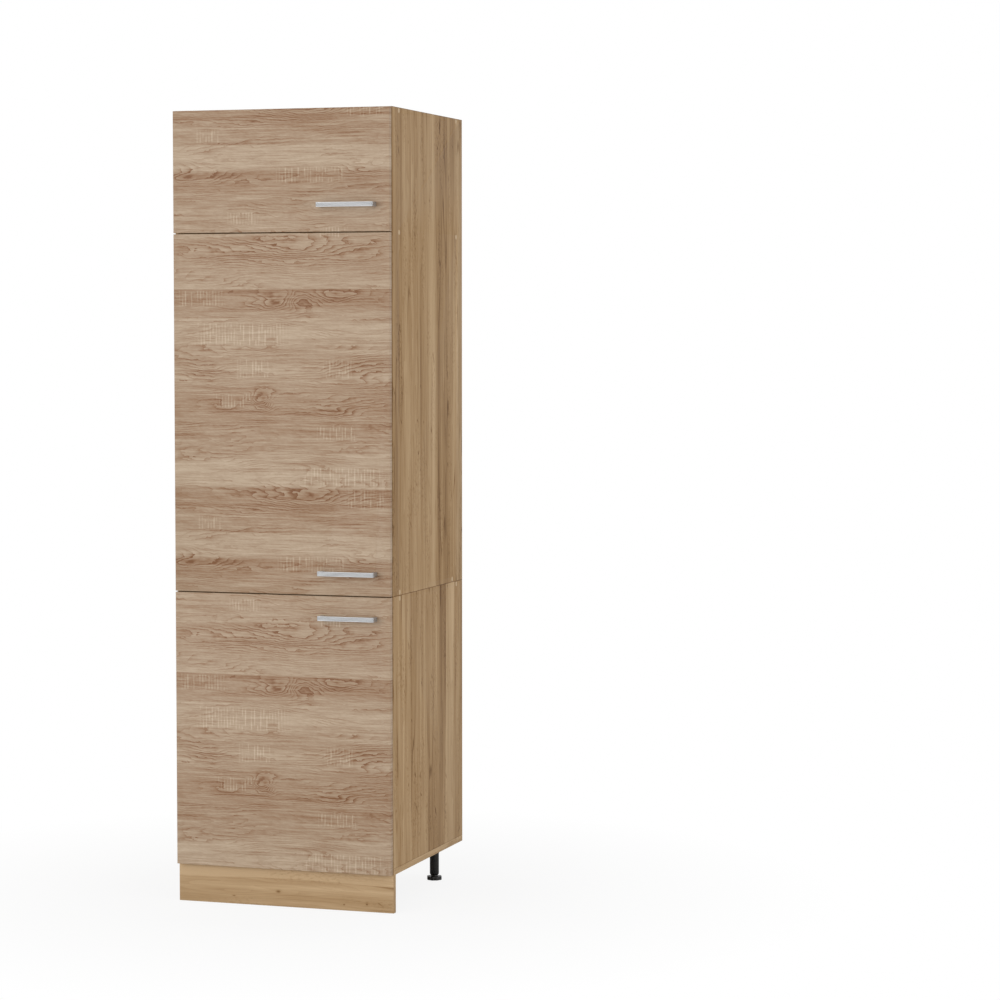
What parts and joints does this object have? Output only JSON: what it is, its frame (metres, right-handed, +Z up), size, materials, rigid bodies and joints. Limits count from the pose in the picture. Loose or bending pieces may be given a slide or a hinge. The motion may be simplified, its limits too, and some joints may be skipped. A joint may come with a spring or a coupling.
{
  "type": "fridge housing unit",
  "caption": "Tall kitchen unit for a built-in fridge: two stacked carcasses on legs, full-overlay wood-decor doors on concealed hinges, bow handles and a plinth.",
  "frame": {"origin": "on the floor, under the middle of the bounding box", "axes": "+Z up, -Y towards the room (the door side), +X to the right as seen from the room"},
  "size_m": [0.6, 0.601, 2.07],
  "materials": {
    "door_decor": "satin rough-sawn oak decor",
    "carcass_decor": "satin golden oak decor",
    "plinth_decor": "satin golden oak decor",
    "back_board": "matt lacquered fibreboard",
    "satin_aluminium": "satin",
    "zinc_steel": "zinc plated",
    "nickel_steel": "nickel plated",
    "black_plastic": "moulded",
    "cap_plastic": "matt",
    "clear_rubber": "soft",
    "beech": "bare"
  },
  "bodies": {
    "carcass": {"bottom_panel": "carcass_decor", "lower_side_left": "carcass_decor", "lower_side_right": "carcass_decor", "lower_top_panel": "carcass_decor", "lower_back_panel": "back_board", "shelf": "carcass_decor", "shelf_pins": "nickel_steel", "upper_side_left": "carcass_decor", "upper_side_right": "carcass_decor", "niche_floor_panel": "carcass_decor", "compartment_floor_panel": "carcass_decor", "top_panel": "carcass_decor", "upper_back_panel": "back_board", "carcass_screws": "zinc_steel", "screw_cover_caps": "cap_plastic", "wooden_dowels": "beech", "joining_sleeves": "zinc_steel", "joining_screws": "zinc_steel", "plinth_board": "plinth_decor", "plinth_clips": "black_plastic", "plinth_clip_screws": "zinc_steel", "leg_bodies": "black_plastic", "leg_screws": "zinc_steel", "hinge_plates": "nickel_steel", "hinge_plate_screws": "zinc_steel", "hinge_arms": "nickel_steel"},
    "inner_links_top_body": {"inner_links_top": "nickel_steel"},
    "door_top": {"door_panel_top": "door_decor", "handle_top": "satin_aluminium", "handle_screws_top": "zinc_steel", "door_bumpers_top": "clear_rubber", "hinge_cups_top": "nickel_steel", "cup_screws_top": "zinc_steel"},
    "outer_links_top_body": {"outer_links_top": "nickel_steel"},
    "inner_links_middle_body": {"inner_links_middle": "nickel_steel"},
    "door_middle": {"door_panel_middle": "door_decor", "handle_middle": "satin_aluminium", "handle_screws_middle": "zinc_steel", "door_bumpers_middle": "clear_rubber", "hinge_cups_middle": "nickel_steel", "cup_screws_middle": "zinc_steel"},
    "outer_links_middle_body": {"outer_links_middle": "nickel_steel"},
    "inner_links_bottom_body": {"inner_links_bottom": "nickel_steel"},
    "door_bottom": {"door_panel_bottom": "door_decor", "handle_bottom": "satin_aluminium", "handle_screws_bottom": "zinc_steel", "door_bumpers_bottom": "clear_rubber", "hinge_cups_bottom": "nickel_steel", "cup_screws_bottom": "zinc_steel"},
    "outer_links_bottom_body": {"outer_links_bottom": "nickel_steel"},
    "foot_front_left_body": {"foot_front_left": "black_plastic"},
    "foot_front_right_body": {"foot_front_right": "black_plastic"},
    "foot_rear_left_body": {"foot_rear_left": "black_plastic"},
    "foot_rear_right_body": {"foot_rear_right": "black_plastic"}
  },
  "joints": [
    {"name": "inner_links_top_on_arms", "type": "hinge", "parent": "carcass", "child": "inner_links_top_body", "pos_m": [-0.27299, -0.24932, 1.911], "axis": [0, 0, -1], "range_deg": [-39.53, 0]},
    {"name": "door_top_open", "type": "hinge", "parent": "inner_links_top_body", "child": "door_top", "pos_m": [-0.28884, -0.25921, 1.911], "axis": [0, 0, -1], "range_deg": [0, 134.24]},
    {"name": "outer_links_top_on_cups", "type": "hinge", "parent": "door_top", "child": "outer_links_top_body", "pos_m": [-0.28443, -0.26196, 1.911], "axis": [0, 0, -1], "range_deg": [-130.45, 0]},
    {"name": "inner_links_middle_on_arms", "type": "hinge", "parent": "carcass", "child": "inner_links_middle_body", "pos_m": [-0.27299, -0.24932, 1.286], "axis": [0, 0, -1], "range_deg": [-39.53, 0]},
    {"name": "door_middle_open", "type": "hinge", "parent": "inner_links_middle_body", "child": "door_middle", "pos_m": [-0.28884, -0.25921, 1.286], "axis": [0, 0, -1], "range_deg": [0, 134.24]},
    {"name": "outer_links_middle_on_cups", "type": "hinge", "parent": "door_middle", "child": "outer_links_middle_body", "pos_m": [-0.28443, -0.26196, 1.286], "axis": [0, 0, -1], "range_deg": [-130.45, 0]},
    {"name": "inner_links_bottom_on_arms", "type": "hinge", "parent": "carcass", "child": "inner_links_bottom_body", "pos_m": [-0.27299, -0.24932, 0.46], "axis": [0, 0, -1], "range_deg": [-39.53, 0]},
    {"name": "door_bottom_open", "type": "hinge", "parent": "inner_links_bottom_body", "child": "door_bottom", "pos_m": [-0.28884, -0.25921, 0.46], "axis": [0, 0, -1], "range_deg": [0, 134.24]},
    {"name": "outer_links_bottom_on_cups", "type": "hinge", "parent": "door_bottom", "child": "outer_links_bottom_body", "pos_m": [-0.28443, -0.26196, 0.46], "axis": [0, 0, -1], "range_deg": [-130.45, 0]},
    {"name": "foot_front_left_turn", "type": "hinge", "parent": "carcass", "child": "foot_front_left_body", "pos_m": [-0.241, -0.1895, 0.02], "axis": [0, 0, 1], "continuous": true},
    {"name": "foot_front_right_turn", "type": "hinge", "parent": "carcass", "child": "foot_front_right_body", "pos_m": [0.241, -0.1895, 0.02], "axis": [0, 0, 1], "continuous": true},
    {"name": "foot_rear_left_turn", "type": "hinge", "parent": "carcass", "child": "foot_rear_left_body", "pos_m": [-0.241, 0.2355, 0.02], "axis": [0, 0, 1], "continuous": true},
    {"name": "foot_rear_right_turn", "type": "hinge", "parent": "carcass", "child": "foot_rear_right_body", "pos_m": [0.241, 0.2355, 0.02], "axis": [0, 0, 1], "continuous": true}
  ],
  "couplings": [
    {"joint": "inner_links_top_on_arms", "follows": "door_top_open", "ratio": -0.29229},
    {"joint": "outer_links_top_on_cups", "follows": "door_top_open", "ratio": -0.96957},
    {"joint": "inner_links_middle_on_arms", "follows": "door_middle_open", "ratio": -0.29229},
    {"joint": "outer_links_middle_on_cups", "follows": "door_middle_open", "ratio": -0.96957},
    {"joint": "inner_links_bottom_on_arms", "follows": "door_bottom_open", "ratio": -0.29229},
    {"joint": "outer_links_bottom_on_cups", "follows": "door_bottom_open", "ratio": -0.96957}
  ]
}
